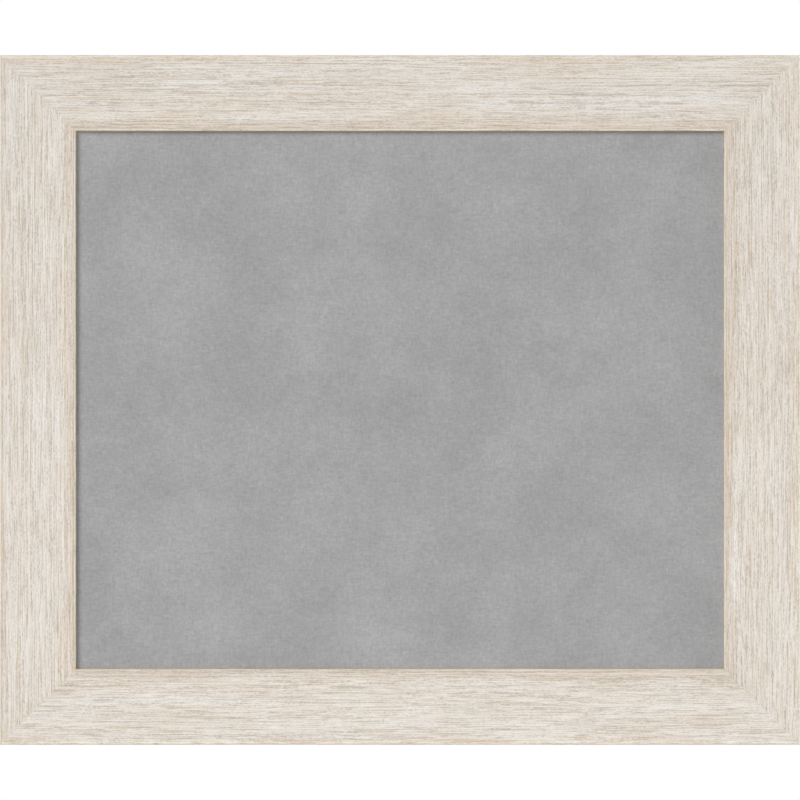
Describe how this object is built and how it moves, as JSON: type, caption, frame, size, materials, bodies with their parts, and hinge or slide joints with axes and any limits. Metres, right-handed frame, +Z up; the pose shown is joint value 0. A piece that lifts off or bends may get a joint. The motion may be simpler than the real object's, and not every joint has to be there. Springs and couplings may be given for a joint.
{
  "type": "magnetic board",
  "caption": "Framed magnetic board: a matte grey steel sheet in a wide, flat, mitred frame of whitewashed wood, with sawtooth hangers behind it for a wall.",
  "frame": {"origin": "midway between the sawtooth hangers, on the line of their notch roots, where the wall nails carry the board, and on the back plane of the moulding", "axes": "+X to the right as a viewer faces the board, +Y back into the wall, +Z up; the magnetic face looks along -Y"},
  "size_m": [0.7366, 0.0258, 0.635],
  "materials": {
    "whitewashed_wood": "matte",
    "galvannealed_steel": "matte",
    "hardboard": "matte",
    "fastener_steel": "satin",
    "hanger_steel": "satin",
    "bumper_rubber": "matte"
  },
  "bodies": {
    "root": {"top_rail": "whitewashed_wood", "bottom_rail": "whitewashed_wood", "left_rail": "whitewashed_wood", "right_rail": "whitewashed_wood", "steel_sheet": "galvannealed_steel", "backing_board": "hardboard", "v_nail_top_left_outer": "fastener_steel", "v_nail_top_left_inner": "fastener_steel", "v_nail_top_right_outer": "fastener_steel", "v_nail_top_right_inner": "fastener_steel", "v_nail_bottom_left_outer": "fastener_steel", "v_nail_bottom_left_inner": "fastener_steel", "v_nail_bottom_right_outer": "fastener_steel", "v_nail_bottom_right_inner": "fastener_steel", "framing_point_top_1": "fastener_steel", "framing_point_top_2": "fastener_steel", "framing_point_top_3": "fastener_steel", "framing_point_top_4": "fastener_steel", "framing_point_bottom_1": "fastener_steel", "framing_point_bottom_2": "fastener_steel", "framing_point_bottom_3": "fastener_steel", "framing_point_bottom_4": "fastener_steel", "framing_point_left_1": "fastener_steel", "framing_point_left_2": "fastener_steel", "framing_point_left_3": "fastener_steel", "framing_point_right_1": "fastener_steel", "framing_point_right_2": "fastener_steel", "framing_point_right_3": "fastener_steel", "hanger_left": "hanger_steel", "hanger_right": "hanger_steel", "hanger_nail_left_1": "fastener_steel", "hanger_nail_left_2": "fastener_steel", "hanger_nail_right_1": "fastener_steel", "hanger_nail_right_2": "fastener_steel", "bumper_left": "bumper_rubber", "bumper_right": "bumper_rubber"}
  },
  "joints": []
}
